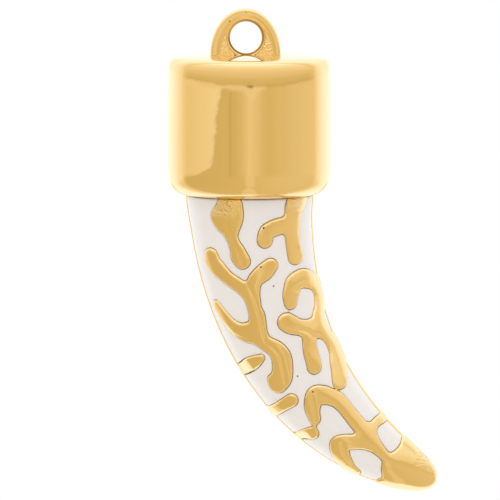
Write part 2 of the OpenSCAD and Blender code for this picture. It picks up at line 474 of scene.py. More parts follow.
# %% The tree that wraps points on the tooth
TOOTH_LIFT = 0.1
LEAN_END = 0.06
FLARE_END = 0.1
NEARLY_TIP = 0.9999
TOOTH_SIZES = {
    "Root radius": 4.95 * MM,
    "Fullness": 1.3,
    "Roundness": 0.43,
    "Flare": 0.12 * MM,
    "Root": (0.28 * MM, 0, -12.6 * MM),
    "Upper pull": (0.6 * MM, 0, (-20.8 + TOOTH_LIFT) * MM),
    "Lower pull": (3.4 * MM, 0, (-31.0 + TOOTH_LIFT) * MM),
    "Tip": (15.1 * MM, 0, (-35.7 + TOOTH_LIFT) * MM),
}


def wrap_tree(name, material):
    tree, geometry, size = new_tree(name, TOOTH_SIZES)
    along = point_number(tree, "along")
    angle = point_number(tree, "around")
    rest = 1 - along
    root, upper, lower, tip = (size[k] for k in ("Root", "Upper pull", "Lower pull", "Tip"))
    centre = (
        root * rest**3
        + upper * (rest**2 * along * 3)
        + lower * (rest * along**2 * 3)
        + tip * along**3
    )
    run = (
        (upper - root) * (rest**2 * 3)
        + (lower - upper) * (rest * along * 6)
        + (tip - lower) * (along**2 * 3)
    )
    # The root is level, so that it meets the cap all round, and then the rings start to lean
    lean = along.smooth(0, LEAN_END)
    level = arrow(tree, z=-1.0) * (1 - lean)
    way = (level + run.unit() * lean).unit()
    side = way.cross(arrow(tree, y=1.0))
    out = side * angle.do("COSINE") + arrow(tree, y=angle.do("SINE"))
    radius = size["Root radius"] * (1 - along ** size["Fullness"]) ** size["Roundness"]
    radius = radius + size["Flare"] * along.smooth(FLARE_END, 0)
    # How steeply the radius closes gives the way that the surface faces
    near = along.do("MINIMUM", NEARLY_TIP)
    closing = (
        size["Root radius"]
        * size["Roundness"]
        * size["Fullness"]
        * near ** (size["Fullness"] - 1)
        * (1 - near ** size["Fullness"]) ** (size["Roundness"] - 1)
    )
    slope = closing / run.length()
    facing = (out + way * slope).unit()
    lift = arrow(tree, z=point_number(tree, "lift"))
    place = centre + out * radius + facing * point_number(tree, "height") + lift
    end_tree(tree, geometry, place, material)
    return tree


wrap_gold = wrap_tree("wrap gold on the tooth", tooth_gold)
wrap_enamel = wrap_tree("wrap enamel on the tooth", enamel_white)
print("tree nodes:", len(wrap_gold.nodes))

# %% [markdown]
# ## A fine skin for the tooth
# The branches need a skin that is fine enough to cut along their outlines. It is a grid of rows
# along the tooth and columns around it. Rows are spaced evenly on the surface, not along the
# centre line, or the round tip would be coarse.

# %% The skin's rows
ROWS = 208
SAMPLES = 4001


def even_rows():
    """Where the rows lie along the tooth, from 0 at the root to 1 at the tip."""
    t = 1 - np.linspace(1, 0, SAMPLES) ** 3
    s = 1 - t
    ends = [np.array(TOOTH_SIZES[k]) for k in ("Root", "Upper pull", "Lower pull", "Tip")]
    weights = np.stack([s**3, 3 * s**2 * t, 3 * s * t**2, t**3], axis=1)
    line = weights @ np.array(ends)
    fullness, roundness = TOOTH_SIZES["Fullness"], TOOTH_SIZES["Roundness"]
    radius = TOOTH_SIZES["Root radius"] * (1 - t**fullness) ** roundness
    steps = np.hypot(np.linalg.norm(np.diff(line, axis=0), axis=1), np.diff(radius))
    walked = np.concatenate([[0], np.cumsum(steps)])
    return np.interp(np.linspace(0, walked[-1], ROWS + 1), walked, t), walked[-1]


rows, meridian = even_rows()
print(f"{ROWS} rows, {meridian / ROWS / MM:.3f} mm apart")

# %% [markdown]
# The skin's squares are split into triangles, because they are cut later. Their diagonals take
# turns, so that no outline is favoured one way. The skin is run through the tree once, only to
# learn where its points lie in space.

# %% The skin's grid
COLUMNS = 228


def skin_grid():
    """The grid's points as (along, around), and its triangles. The last point is the tip."""
    turn = 2 * np.pi / COLUMNS
    along = np.repeat(rows[:-1], COLUMNS)
    around = np.tile(np.arange(COLUMNS) * turn, ROWS)
    i, j = np.meshgrid(np.arange(ROWS - 1), np.arange(COLUMNS), indexing="ij")
    a = (i * COLUMNS + j).ravel()
    b = (i * COLUMNS + (j + 1) % COLUMNS).ravel()
    c = b + COLUMNS
    d = a + COLUMNS
    odd = ((i + j) % 2).ravel().astype(bool)
    first = np.where(odd[:, None], np.stack([a, b, c], 1), np.stack([a, b, d], 1))
    second = np.where(odd[:, None], np.stack([a, c, d], 1), np.stack([b, c, d], 1))
    last = (ROWS - 1) * COLUMNS + np.arange(COLUMNS)
    tip = np.full(COLUMNS, ROWS * COLUMNS)
    fan = np.stack([last, np.roll(last, -1), tip], 1)
    along = np.append(along, 1.0)
    around = np.append(around, 0.0)
    return along, around, np.concatenate([first, second, fan])


along, around, skin = skin_grid()
blank = np.zeros(len(along))
mesh = plain_mesh(
    "skin", np.zeros((len(along), 3)), skin, along=along, around=around, height=blank, lift=blank
)
bare = grown("skin", mesh, wrap_gold, TOOTH_SIZES)
places = read_points(bare.data) / MM
bpy.data.objects.remove(bare)
if volume(places, skin) < 0:
    skin = skin[:, ::-1]
print(f"skin: {len(skin)} triangles, {volume(places, skin):.0f} cubic mm")

# %% [markdown]
# ## The coral branches
# The branches were measured in the photo, as strokes seen from the front: x, z and half
# the width, in millimetres. A few points for each stroke are enough, because a smooth curve will
# go through them. The back has the same branches.

# %% The chart of branches
BRANCHES = {
    "a": [
        [(-1.35, -11.95, 0.92), (-1.35, -12.7, 0.9), (-1.3, -13.2, 1.02), (-1.25, -13.7, 1.04),
         (-1.2, -14.15, 0.98), (-1.25, -14.65, 0.86), (-1.15, -15.15, 0.58), (-1.15, -15.6, 0.48),
         (-1.0, -16.0, 0.46), (-0.85, -16.4, 0.5), (-0.65, -16.8, 0.58), (-0.55, -17.2, 0.68),
         (-0.3, -17.6, 0.66)],
        [(-1.85, -14.1, 0.96), (-1.8, -14.25, 0.88)],
        [(-1.65, -14.75, 0.64), (-1.3, -15.3, 0.42)],
    ],
    "b": [
        [(4.2, -12.05, 0.8), (4.05, -12.75, 0.78), (3.9, -13.25, 0.76), (3.8, -13.6, 0.71),
         (3.7, -14.1, 0.62), (3.6, -14.9, 0.58), (3.65, -15.5, 0.54), (3.7, -16.0, 0.54),
         (3.8, -16.65, 0.56), (3.95, -17.4, 0.58)],
        [(3.55, -14.8, 0.62), (2.95, -14.8, 0.65), (2.45, -14.9, 0.68), (2.05, -15.05, 0.66),
         (1.7, -15.25, 0.64), (1.55, -15.6, 0.62), (1.5, -15.95, 0.62)],
    ],
    "c": [
        [(-2.8, -17.15, 0.5), (-2.6, -17.8, 0.6), (-2.15, -18.35, 0.62), (-1.5, -18.95, 0.54),
         (-0.75, -19.45, 0.54), (-0.2, -19.85, 0.55), (0.25, -20.35, 0.5), (0.5, -20.75, 0.48)],
        [(1.95, -17.95, 0.6), (1.45, -18.45, 0.7), (0.85, -18.95, 0.62), (0.6, -19.45, 0.58),
         (0.55, -19.9, 0.56), (0.55, -20.45, 0.54), (0.6, -20.95, 0.54), (0.7, -21.45, 0.56),
         (0.85, -21.95, 0.64), (0.95, -22.7, 0.66), (1.0, -23.45, 0.66), (1.4, -24.05, 0.62),
         (1.85, -24.35, 0.64), (2.4, -24.7, 0.72), (2.8, -25.3, 0.8), (2.9, -26.05, 0.82),
         (2.85, -26.95, 0.82), (2.55, -27.55, 0.74)],
        [(-2.4, -21.1, 0.2), (-2.1, -21.65, 0.32), (-1.7, -22.2, 0.38), (-1.3, -22.7, 0.46),
         (-0.85, -23.1, 0.58), (-0.35, -23.3, 0.68), (0.25, -23.4, 0.84), (0.95, -23.55, 0.68)],
        [(2.4, -27.25, 0.56), (2.05, -27.15, 0.36)],
    ],
    "d": [
        [(3.55, -21.0, 0.5), (3.55, -20.4, 0.62), (3.7, -19.8, 0.68), (3.9, -19.35, 0.72),
         (4.5, -19.1, 0.77), (5.0, -19.3, 0.64), (5.55, -19.7, 0.5), (5.85, -20.25, 0.46),
         (6.0, -20.9, 0.5), (5.95, -21.5, 0.46), (5.8, -21.85, 0.43), (5.7, -22.25, 0.42),
         (5.65, -22.9, 0.52)],
        [(3.25, -22.5, 0.76), (3.6, -22.7, 0.76), (4.1, -22.9, 0.66), (4.5, -22.95, 0.64),
         (5.0, -23.0, 0.64), (5.6, -23.05, 0.64)],
        [(5.05, -23.35, 0.58), (5.05, -24.1, 0.54), (5.15, -24.9, 0.58), (5.35, -25.65, 0.58),
         (5.45, -26.15, 0.58)],
        [(5.6, -23.05, 0.64), (6.2, -23.6, 0.42), (6.65, -24.0, 0.44), (7.0, -24.45, 0.54),
         (7.25, -25.1, 0.58), (7.35, -25.8, 0.62), (7.45, -26.55, 0.62), (7.5, -27.45, 0.58)],
    ],
    "left bar": [
        [(1.2, -25.4, 0.3), (0.65, -25.8, 0.54), (0.1, -26.2, 0.62), (-0.6, -26.9, 0.5)],
    ],
    "middle bar": [
        [(3.6, -28.85, 0.56), (2.85, -29.4, 0.5), (2.0, -30.1, 0.52)],
    ],
    "low bar": [
        [(5.25, -31.6, 0.56), (4.65, -31.8, 0.5), (4.0, -32.15, 0.4)],
    ],
    "f": [
        [(5.45, -30.3, 0.4), (5.3, -29.7, 0.58), (5.3, -29.1, 0.68), (5.55, -28.4, 0.76),
         (6.1, -28.4, 0.78), (6.6, -28.5, 0.7), (7.25, -28.8, 0.64), (7.8, -29.35, 0.58),
         (8.35, -30.05, 0.58), (8.9, -30.75, 0.6), (9.45, -31.4, 0.6), (9.9, -32.15, 0.72),
         (10.55, -32.85, 0.52), (11.4, -33.75, 0.5), (12.35, -34.6, 1.38)],
        [(9.75, -31.45, 0.6), (10.2, -31.0, 0.4), (10.55, -30.7, 0.38), (11.1, -30.45, 0.4)],
        [(9.6, -32.2, 0.66), (8.6, -32.25, 0.64), (7.9, -32.3, 0.68), (7.4, -32.45, 0.7),
         (7.45, -32.95, 0.74), (7.65, -33.5, 0.66), (8.0, -34.1, 0.54), (8.4, -34.6, 0.42),
         (8.8, -34.95, 0.38)],
        [(12.35, -34.6, 1.38), (13.3, -33.2, 1.14), (13.55, -32.15, 1.0)],
        [(12.0, -35.5, 0.8), (11.2, -35.75, 0.5), (10.35, -36.0, 0.34)],
        [(12.35, -34.6, 1.38), (13.95, -34.85, 1.9)],
        [(5.5, -30.4, 0.36), (5.45, -30.85, 0.16), (5.4, -31.25, 0.2)],
    ],
}
print(sum(len(strokes) for strokes in BRANCHES.values()), "strokes in", len(BRANCHES), "branches")

# %% [markdown]
# A smooth curve goes through each stroke's points, and round brush marks along it make the branch.
# The branch is kept as a distance, less than 0 inside, and not as an outline. Where strokes of one
# branch meet, their distances flow into each other, as wax does in the carver's model.

# %% Branches as a distance
FLOW = 0.4
RIDGE_WIDTH = 0.8
STEPS_IN_STROKE = 5


def fours(points):
    """Each step of a line with the points before and after it. The ends are carried on straight."""
    p = np.concatenate([[2 * points[0] - points[1]], points, [2 * points[-1] - points[-2]]])
    return zip(p, p[1:], p[2:], p[3:])


def curve(a, b, c, d, u):
    """A place on a smooth curve from b to c, which leaves and meets them in line with a and d."""
    return 0.5 * (
        2 * b + (c - a) * u + (2 * a - 5 * b + 4 * c - d) * u**2 + (3 * b - a - 3 * c + d) * u**3
    )


def smooth_stroke(stroke):
    """More points on a smooth curve through the stroke's own."""
    p = np.array(stroke, float)
    p[:, 1] += TOOTH_LIFT
    shares = np.arange(STEPS_IN_STROKE) / STEPS_IN_STROKE
    fine = [curve(*four, u) for four in fours(p) for u in shares]
    return np.array(fine + [p[-1]])


def stroke_distance(x, z, stroke):
    """How far outside the stroke a point lies, seen from the front; less than 0 inside."""
    fine = smooth_stroke(stroke)
    best = np.full(len(x), 1e3)
    for a, b in zip(fine, fine[1:]):
        step = b - a
        h = np.clip(((x - a[0]) * step[0] + (z - a[1]) * step[1]) / (step[0]**2 + step[1]**2), 0, 1)
        far = np.hypot(x - a[0] - h * step[0], z - a[1] - h * step[1]) - a[2] - h * step[2]
        best = np.minimum(best, far)
    return best


def flow_together(one, other, reach):
    """The lesser of two distances, with the corner between them filled."""
    h = np.maximum(reach - np.abs(one - other), 0) / reach
    return np.minimum(one, other) - h * h * reach / 4


def outside_gold(points):
    """How far a point lies outside the branches and the two side ridges."""
    x, y, z = points.T
    best = np.abs(y) - RIDGE_WIDTH / 2
    for strokes in BRANCHES.values():
        near = None
        for stroke in strokes:
            far = stroke_distance(x, z, stroke)
            near = far if near is None else flow_together(near, far, FLOW)
        best = np.minimum(best, near)
    return best


ground = outside_gold(places)
print(f"gold covers {np.mean(ground < 0):.0%} of the skin's points")

# %% [markdown]
# ## Cutting the skin
# The skin's triangles are cut where they cross the branches' outline, so that gold and enamel
# share one clean edge. Points that lie very near the outline are first slid onto it, because a
# cut beside them would leave slivers.

# %% Slide points onto the outline
SLIDE = 0.22
ON_LINE = 1e-7


def edges_of(triangles):
    pairs = np.sort(triangles[:, [0, 1, 1, 2, 2, 0]].reshape(-1, 2), axis=1)
    return np.unique(pairs, axis=0)


def mixed(table, a, b, share):
    """A row of numbers between rows a and b. Column 1 is an angle, which may pass 360."""
    low = table[a].copy()
    high = table[b].copy()
    at_tip = high[:, 0] >= 1
    high[at_tip, 1] = low[at_tip, 1]
    high[:, 1] -= np.round((high[:, 1] - low[:, 1]) / (2 * np.pi)) * 2 * np.pi
    return low + (high - low) * share[:, None]


def slid(table, column, triangles):
    """Moves points that lie just beside the line onto it."""
    table = table.copy()
    pairs = edges_of(triangles)
    a, b = pairs.T
    va, vb = table[a, column], table[b, column]
    crossing = va * vb < 0
    a, b, va, vb = a[crossing], b[crossing], va[crossing], vb[crossing]
    share = va / (va - vb)
    ends = np.concatenate([a, b])
    others = np.concatenate([b, a])
    shares = np.concatenate([share, 1 - share])
    order = np.argsort(-shares)
    order = order[shares[order] < SLIDE]
    moved = mixed(table, ends[order], others[order], shares[order])
    moved[:, column] = 0
    table[ends[order]] = moved
    return table


GROUND = 5
table = np.column_stack([along, around, places, ground])
table = slid(table, GROUND, skin)
print("points on the outline:", np.sum(table[:, GROUND] == 0))

# %% [markdown]
# Then each triangle that the outline crosses becomes two or three. The same cut is used again later
# at a few small distances from the outline, which gives the rounded shoulders rows of their own.

# %% Cut triangles along a line of equal value


def cut(table, column, triangles, level=0.0):
    """Splits triangles where a column's value crosses the level."""
    value = table[:, column] - level
    value[np.abs(value) < ON_LINE] = 0
    sign = np.sign(value).astype(int)
    kinds = sign[triangles]
    crossed = (kinds.min(axis=1) < 0) & (kinds.max(axis=1) > 0)
    todo = triangles[crossed]
    pairs = edges_of(todo)
    pairs = pairs[sign[pairs[:, 0]] * sign[pairs[:, 1]] < 0]
    va, vb = value[pairs[:, 0]], value[pairs[:, 1]]
    fresh = mixed(table, pairs[:, 0], pairs[:, 1], va / (va - vb))
    fresh[:, column] = level
    number = len(table) + np.arange(len(pairs))
    size = len(table)
    lookup = dict(zip((pairs[:, 0] * size + pairs[:, 1]).tolist(), number.tolist()))
    made = []
    for a, b, c in todo.tolist():
        while not (sign[a] == 0 or (sign[a] != sign[b] and sign[a] != sign[c] and sign[b] and sign[c])):
            a, b, c = b, c, a
        if sign[a] == 0:
            m = lookup[min(b, c) * size + max(b, c)]
            made += [(a, b, m), (a, m, c)]
            continue
        m = lookup[min(a, b) * size + max(a, b)]
        n = lookup[min(a, c) * size + max(a, c)]
        made += [(a, m, n), (m, b, c), (m, c, n)]
    parts = np.array(made, int).reshape(-1, 3)
    return np.concatenate([table, fresh]), np.concatenate([triangles[~crossed], parts])


table, cuts = cut(table, GROUND, skin)
on_white = table[cuts, GROUND].sum(axis=1) > 0
print(f"{len(cuts)} triangles, {on_white.mean():.0%} of them under enamel")

# %% [markdown]
# ## Distance from the outline
# The shoulders of the gold and the edge of the enamel depend on how far a point lies from the
# outline, measured on the surface. Seen from the front, that distance shrinks on the tooth's
# sides. So it is measured in space, to the nearest of many marks along the outline.

# %% Distance of every point from the outline, more than 0 inside the gold
MARKS_PER_EDGE = 6


def outline_marks(table, triangles, white):
    """Marks all along the edges that gold and enamel share."""
    pairs = np.sort(triangles[:, [0, 1, 1, 2, 2, 0]].reshape(-1, 2), axis=1)
    kinds = np.repeat(white, 3)
    keys = pairs[:, 0] * len(table) + pairs[:, 1]
    shared = np.intersect1d(keys[kinds], keys[~kinds])
    a, b = shared // len(table), shared % len(table)
    start, end = table[a, 2:5], table[b, 2:5]
    marks = [start + (end - start) * u for u in np.arange(MARKS_PER_EDGE) / MARKS_PER_EDGE]
    length = np.linalg.norm(end - start, axis=1).sum()
    return np.concatenate(marks), length, np.unique(np.concatenate([a, b]))


def distance_to(marks, points):
    tree = kdtree.KDTree(len(marks))
    for k, mark in enumerate(marks.tolist()):
        tree.insert(mark, k)
    tree.balance()
    return np.array([tree.find(p)[2] for p in points.tolist()])


marks, outline_length, on_line = outline_marks(table, cuts, on_white)
away = distance_to(marks, table[:, 2:5])
away[on_line] = 0
away *= np.where(table[:, GROUND] > 0, -1, 1)
AWAY = 6
table = np.column_stack([table, away])
print(f"outline {outline_length:.0f} mm long, gold up to {away.max():.2f} mm from it")

# %% [markdown]
# ## Gold relief
# Cast and polished branches are round like half-sunk wire. The height rises steeply at the
# outline and runs level towards the middle, as a quarter of an ellipse does. A few shallow folds
# run along the trunks, where the carver's tool went, and two of the bars slope down to the side.
# These marks are what breaks up the reflections, so they are worth more than their size.

# %% Marks of the carver
# Places x, z along each fold, and the fold's depth and reach
FOLDS = [
    [(0.15, -19.2), (0.5, -20.0), (0.8, -20.7), (1.15, -22.0), (1.45, -23.0), (1.5, -23.6)],
    [(1.55, -23.95), (2.1, -24.35), (2.5, -24.8), (2.75, -25.2)],
    [(2.8, -25.4), (3.0, -26.2), (3.15, -27.2)],
    [(-1.5, -14.5), (-1.2, -15.2), (-0.9, -16.0), (-0.5, -16.9), (-0.2, -17.8)],
    [(5.2, -28.3), (5.45, -29.4), (5.65, -30.5)],
    [(7.7, -32.3), (7.95, -33.2), (8.4, -33.9), (8.9, -34.5)],
    [(4.1, -22.95), (4.8, -23.2), (5.4, -23.7)],
    [(3.9, -19.9), (4.4, -19.75), (4.8, -19.8)],
    [(-1.9, -22.6), (-1.0, -23.5), (0.1, -23.9)],
]
FOLD_DEPTH = 0.08
FOLD_REACH = 0.14
FOLD_FADE = 0.2
# Where the slope of a bar starts, x and z, and its way down
BAR_SLOPES = [((0.5, -26.0), (-0.77, -0.64)), ((5.2, -31.7), (-0.84, -0.54))]
BAR_SLOPE = 0.3
BAR_DROP = 0.2
BAR_HALF_WIDTH = 0.85
BAR_LENGTH = 2


def line_distance(x, z, a, b):
    """How far points lie from a straight line between two places, seen from the front."""
    step = np.subtract(b, a)
    h = np.clip(((x - a[0]) * step[0] + (z - a[1]) * step[1]) / (step @ step), 0, 1)
    return np.hypot(x - a[0] - h * step[0], z - a[1] - h * step[1])


def carved(form, x, z, away):
    """The form with the folds and slopes cut into it. Folds fade out towards the outline."""
    for fold in FOLDS:
        far = np.min([line_distance(x, z, a, b) for a, b in zip(fold, fold[1:])], axis=0)
        form -= FOLD_DEPTH * np.exp(-((far / FOLD_REACH) ** 2)) * np.clip(away / FOLD_FADE, 0, 1)
    for start, way in BAR_SLOPES:
        down = (x - start[0]) * way[0] + (z - start[1]) * way[1]
        aside = np.abs((x - start[0]) * way[1] - (z - start[1]) * way[0])
        on_bar = (aside < BAR_HALF_WIDTH) * (down < BAR_LENGTH)
        form -= np.clip(down * BAR_SLOPE, 0, BAR_DROP) * on_bar
    return form


print(len(FOLDS), "folds and", len(BAR_SLOPES), "slopes")

# %% [markdown]
# Under the enamel the gold lies deeper. The side ridges stand out a little, as on the real casting,
# where the two halves of the mould met. They are flatter than the branches, with a low crown of
# their own, and they end before the tip.

# %% Heights of the gold
RECESS = 0.35
EDGE_DEPTH = 0.11
ROUND_RISE = 0.33
ROUND_REACH = 0.6
RELAX_FROM = 0.2
RELAX_TURNS = 24
RIDGE_RISE = 0.06
RIDGE_END = 0.97
RIDGE_FADE = 0.07
RIDGE_BLEND = 0.15
RIDGE_EDGE_DROP = 0.03
RIDGE_EDGE_REACH = 0.05
SHOULDER_ROWS = (0.03, 0.08, 0.16)


def relaxed(values, triangles, free, turns):
    """Each free point moves to the middle of its neighbours, several times over."""
    pairs = edges_of(triangles)
    a, b = np.concatenate([pairs, pairs[:, ::-1]]).T
    count = np.bincount(a, minlength=len(values))
    values = values.copy()
    for _ in range(turns):
        mean = np.bincount(a, weights=values[b], minlength=len(values)) / np.maximum(count, 1)
        values[free] = mean[free]
    return values


def gold_height(table, triangles):
    away = np.maximum(table[:, AWAY], 0)
    share = np.clip(away / ROUND_REACH, 0, 1)
    form = ROUND_RISE * np.sqrt(1 - (1 - share) ** 2)
    form = relaxed(form, triangles, away > RELAX_FROM, RELAX_TURNS) - EDGE_DEPTH
    x, y, z = table[:, 2:5].T
    form = carved(form, x, z, away)
    half = RIDGE_WIDTH / 2
    across = np.clip(1 - (y / half) ** 2, 0, 1)
    on_side = np.clip((RIDGE_END - table[:, 0]) / RIDGE_FADE, 0, 1)
    flat = np.clip((half + RIDGE_BLEND - np.abs(y)) / RIDGE_BLEND, 0, 1) * on_side
    low = RIDGE_RISE * across - RIDGE_EDGE_DROP * np.exp(-away / RIDGE_EDGE_REACH)
    return form * (1 - flat) + low * flat


def only(table, triangles):
    """The triangles with just the points that they use."""
    used, index = np.unique(triangles, return_inverse=True)
    return table[used], index.reshape(-1, 3)


gold_table, gold_faces = only(table, cuts[~on_white])
for row in SHOULDER_ROWS:
    gold_table, gold_faces = cut(gold_table, AWAY, gold_faces, row)
top_height = gold_height(gold_table, gold_faces)

floor_table, floor_faces = only(table, cuts[on_white])
print(f"relief {len(gold_faces)} triangles, floor {len(floor_faces)}")

# %% [markdown]
# ## One closed casting
# The relief and the floor under the enamel are two open sheets. Their shared outline is found by
# its place, and a wall of two triangles stands on each of its edges. From here on each point is a
# row of (along, around, height, lift), which are the numbers that the tree asks for.

# %% Join the relief and the floor


def open_edges(triangles):
    """Edges with a face on one side only, in the direction of that face."""
    ways = triangles[:, [0, 1, 1, 2, 2, 0]].reshape(-1, 2)
    size = triangles.max() + 1
    keys = ways[:, 0] * size + ways[:, 1]
    back = ways[:, 1] * size + ways[:, 0]
    return ways[~np.isin(keys, back)]


def as_rows(table, height):
    return np.column_stack([table[:, :2], height * np.ones(len(table)), np.zeros(len(table))])


def joined_casting():
    rows_up = as_rows(gold_table, top_height)
    rows_down = as_rows(floor_table, -RECESS)
    count = len(rows_up)
    faces = np.concatenate([gold_faces, floor_faces + count])
    # Partners on the outline are edges at the same place in both tables, which run opposite ways
    upper_keys = [tuple(row) for row in np.round(gold_table[:, 2:5], 6).tolist()]
    lower_keys = [tuple(row) for row in np.round(floor_table[:, 2:5], 6).tolist()]
    partner = {(upper_keys[b], upper_keys[a]): (b, a) for a, b in open_edges(gold_faces).tolist()}
    walls = []
    for a, b in open_edges(floor_faces).tolist():
        if (lower_keys[a], lower_keys[b]) in partner:
            c, d = partner[lower_keys[a], lower_keys[b]]
            walls += [(b + count, a + count, c), (b + count, c, d)]
    faces = np.concatenate([faces, np.array(walls)])
    return np.concatenate([rows_up, rows_down]), faces


sheet_rows, sheet_faces = joined_casting()
print("the root is still open:", len(open_edges(sheet_faces)), "edges")

# %% [markdown]
# At the root, the open rim is carried in and up to form the tenon that sits in the cap.

# %% The tenon
TENON_RADIUS = 4.4
TENON_LENGTH = 2.6
ROOT_RADIUS = (TOOTH_SIZES["Root radius"] + TOOTH_SIZES["Flare"]) / MM


def with_tenon(rows, faces):
    """Carries the open rim at the root in to the tenon, up, and closes its top."""
    rim = open_edges(faces)
    angles = {}
    for point in np.unique(rim).tolist():
        angles[point] = round(float(rows[point, 1]) % (2 * np.pi), 6)
    rings = []
    size = len(rows)
    unique = sorted(set(angles.values()))
    inward = TENON_RADIUS - ROOT_RADIUS
    for lift in (0.0, TENON_LENGTH):
        rings.append(np.array([[0, angle, inward, lift] for angle in unique]))
    centre = np.array([[0, 0, -ROOT_RADIUS, TENON_LENGTH]])
    order = {angle: k for k, angle in enumerate(unique)}
    lower = {point: size + order[angle] for point, angle in angles.items()}
    made = []
    for a, b in rim.tolist():
        c, d = lower[a], lower[b]
        made.append((b, a, c))
        if c == d:
            continue
        e, f = c + len(unique), d + len(unique)
        made += [(b, c, d), (d, c, e), (d, e, f), (f, e, size + 2 * len(unique))]
    return np.concatenate([rows] + rings + [centre]), np.concatenate([faces, np.array(made)])


casting_rows, casting_faces = with_tenon(sheet_rows, sheet_faces)
print(f"casting {len(casting_faces)} triangles, open edges {len(open_edges(casting_faces))}")

# %% [markdown]
# ## The gold casting
# The rows now go through the tree. Cast grain is left at the top of the branches, where the cap
# kept the polishing wheel away, and a little of it at the tip. It is set on the finished mesh, from
# the true places of its points.

# %% The gold casting
# Where the grain is: x, z, radius and strength
GRAIN_SPOTS = [(-1.8, -13.1, 1.2, 1.9), (3.7, -12.8, 1.0, 1.5), (14.0, -33.8, 0.9, 0.6)]


def tooth_piece(name, rows, faces, tree):
    """Sends rows of (along, around, height, lift) through the tree."""
    mesh = plain_mesh(
        name, np.zeros((len(rows), 3)), faces, along=rows[:, 0], around=rows[:, 1],
        height=rows[:, 2] * MM, lift=rows[:, 3] * MM,
    )
    piece = grown(name, mesh, tree, TOOTH_SIZES)
    for label in ("along", "around", "height", "lift"):
        piece.data.attributes.remove(piece.data.attributes[label])
    return piece


def set_grain(piece):
    """Marks how rough each point is, from its place seen from the front."""
    x, _, z = read_points(piece.data).T / MM
    grain = np.zeros(len(x))
    for middle_x, middle_z, reach, strength in GRAIN_SPOTS:
        far = np.hypot(x - middle_x, z - middle_z) / reach
        grain = np.maximum(grain, strength * np.clip(2 - 2 * far, 0, 1))
    layer = piece.data.attributes.new("grain", "FLOAT", "POINT")
    layer.data.foreach_set("value", grain.astype(np.float32))
    return int(np.sum(grain > 0))


coral_gold = tooth_piece("coral_gold", casting_rows, casting_faces, wrap_gold)
print("points with cast grain:", set_grain(coral_gold))
print(f"coral gold {volume(read_points(coral_gold.data) / MM, casting_faces):.0f} cubic mm")

# %% [markdown]
# ## Enamel fields
# The enamel fills the ground up to just below the gold. Its edge turns down a little where it
# meets the metal, and a hair of a gap stays round it: that gap is the thin dark line round every
# branch in the photo. Each field is a closed slab with a top, a bottom and a wall.

# %% Enamel slabs
GAP = 0.025
ENAMEL_ROWS = (-0.07, -0.14)
ENAMEL_DROP = 0.03
EDGE_TURN = 0.03
EDGE_REACH = 0.04
ENAMEL_CLEARANCE = 0.04
ENAMEL_BOTTOM = RECESS - ENAMEL_CLEARANCE


def enamel_slabs():
    sheet, faces = floor_table, floor_faces
    sheet, faces = cut(sheet, AWAY, faces, -GAP)
    keep = sheet[faces, AWAY].sum(axis=1) < -3 * GAP - 1e-9
    sheet, faces = only(sheet, faces[keep])
    for row in ENAMEL_ROWS:
        sheet, faces = cut(sheet, AWAY, faces, row)
    inside = -sheet[:, AWAY] - GAP
    top = -ENAMEL_DROP - EDGE_TURN * np.exp(-inside / EDGE_REACH)
    count = len(sheet)
    walls = []
    for a, b in open_edges(faces).tolist():
        walls += [(b, a, a + count), (b, a + count, b + count)]
    whole = np.concatenate([faces, faces[:, ::-1] + count, np.array(walls)])
    return np.concatenate([as_rows(sheet, top), as_rows(sheet, -ENAMEL_BOTTOM)]), whole


slab_rows, slab_faces = enamel_slabs()
enamel_fields = tooth_piece("enamel_fields", slab_rows, slab_faces, wrap_enamel)
print(f"enamel {len(slab_faces)} triangles, open edges {len(open_edges(slab_faces))}, "
      f"{volume(read_points(enamel_fields.data) / MM, slab_faces):.1f} cubic mm")

# %% [markdown]
# ## The cap
# The cap is a turned form: one outline, spun round an axis. Hand polishing leaves it very
# slightly uneven, and that unevenness is what makes its long reflections wavy. So the tree adds
# a slow ripple to the spun outline, with a size and a height that can be changed.

# %% Outline of the cap: radius, height
CAP_OUTLINE = [
    (0.0, -1.38), (1.2, -1.39), (2.4, -1.415), (3.6, -1.46), (4.8, -1.53), (5.5, -1.59),
    (5.9, -1.65), (6.13, -1.735), (6.27, -1.87), (6.36, -2.02), (6.42, -2.2), (6.452, -2.4),
    (6.475, -2.65), (6.496, -3.0), (6.518, -3.6), (6.53, -4.3), (6.536, -5.0), (6.543, -7.0),
    (6.546, -8.5), (6.546, -9.6), (6.54, -10.3), (6.51, -10.9), (6.42, -11.45), (6.26, -11.82),
    (6.0, -12.14), (5.72, -12.36), (5.38, -12.5), (5.0, -12.55), (4.6, -12.55), (4.5, -12.5),
    (4.5, -10.0), (4.4, -9.9), (0.0, -9.9),
]
OUTLINE_STEP = 0.16
# The last points are the sharp corners of the socket, which no curve may round
SHARP_POINTS = 6


def fine_outline(points):
    """More points along the outline, on a smooth curve except at the socket and the middle."""
    fine = []
    for k, (a, b, c, d) in enumerate(fours(np.array(points))):
        count = max(2, int(np.linalg.norm(c - b) / OUTLINE_STEP))
        sharp = k == 0 or k >= len(points) - SHARP_POINTS
        for u in np.arange(count) / count:
            fine.append(b + (c - b) * u if sharp else curve(a, b, c, d, u))
    return np.array(fine + [points[-1]])


cap_line = fine_outline(CAP_OUTLINE)
print(f"outline of the cap: {len(CAP_OUTLINE)} points by hand, {len(cap_line)} on the curve")

# %% [markdown]
# The tree spins the outline round the cap's axis, which stands a little to the right of the eye.
# Only the wall ripples: the plate stays true, and so does the socket.

# %% The tree that turns the cap
CAP_OFFSET = 0.25
RIPPLE_START = 4.8
RIPPLE_FULL = 6
CAP_SIZES = {
    "Axis": CAP_OFFSET * MM,
    "Ripple height": 0.004 * MM,
    "Ripples per metre": 190.0,
    "Seed": 3.0,
}


